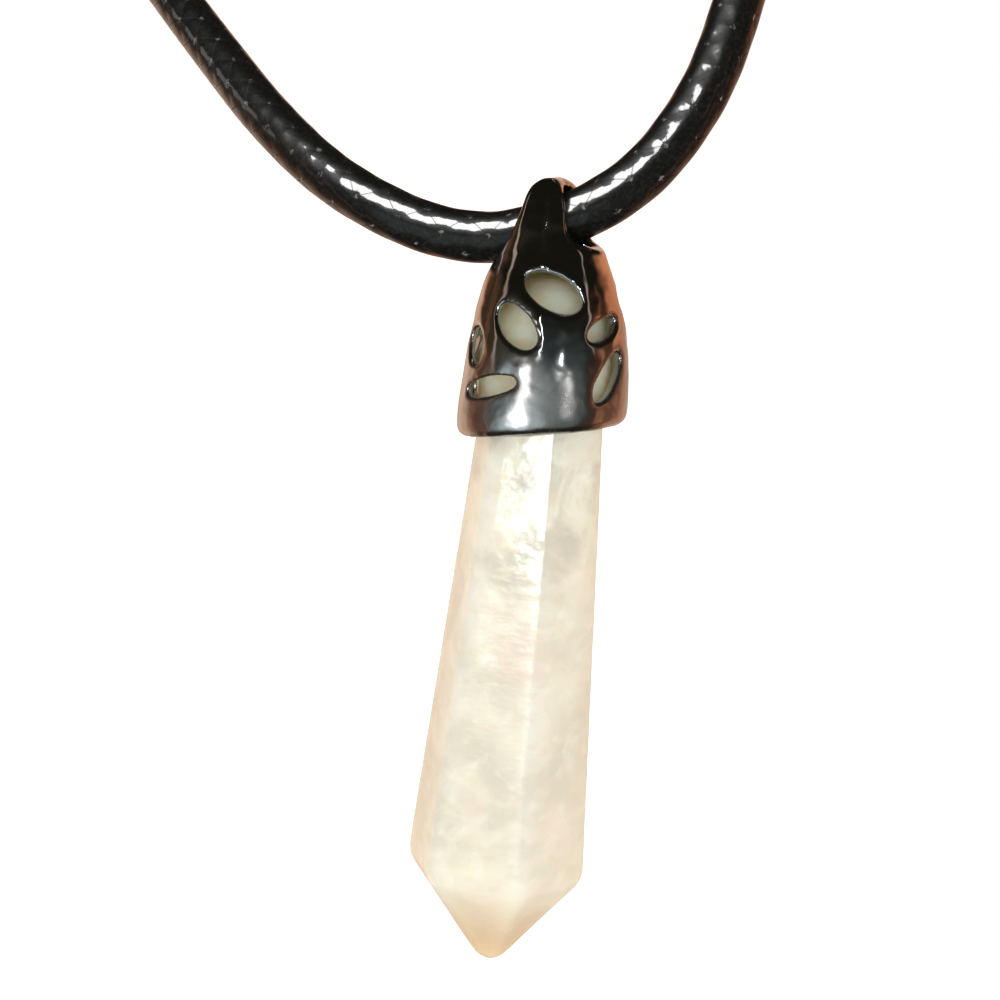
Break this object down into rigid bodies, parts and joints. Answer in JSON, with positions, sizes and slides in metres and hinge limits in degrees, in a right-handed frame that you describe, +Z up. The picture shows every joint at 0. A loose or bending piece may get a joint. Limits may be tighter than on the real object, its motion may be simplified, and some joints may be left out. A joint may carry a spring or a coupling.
{
  "type": "crystal pendant necklace",
  "caption": "Black braided cord necklace, a closed loop with a barrel clasp, and a pale faceted crystal point that swings from it in a pierced metal cap with a bail.",
  "frame": {"origin": "middle of the clasp, where the loop lies on the nape of the neck", "axes": "+Z up with the pendant hanging straight down, -Y to the wearer's front, +X to the wearer's left"},
  "size_m": [0.1262, 0.123, 0.1525],
  "materials": {
    "cap_metal": "polished cast metal, dark silver tone",
    "crystal": "polished milky stone",
    "cord": "waxed braid, glossy",
    "clasp_metal": "polished metal"
  },
  "bodies": {
    "necklace": {"cord": "cord", "clasp": "clasp_metal"},
    "pendant": {"cap": "cap_metal", "crystal": "crystal"}
  },
  "joints": [
    {"name": "pendant_swing", "type": "hinge", "parent": "necklace", "child": "pendant", "pos_m": [0.016, -0.116, -0.11], "axis": [0.9397, 0, 0.342], "range_deg": [-85, 85]}
  ]
}
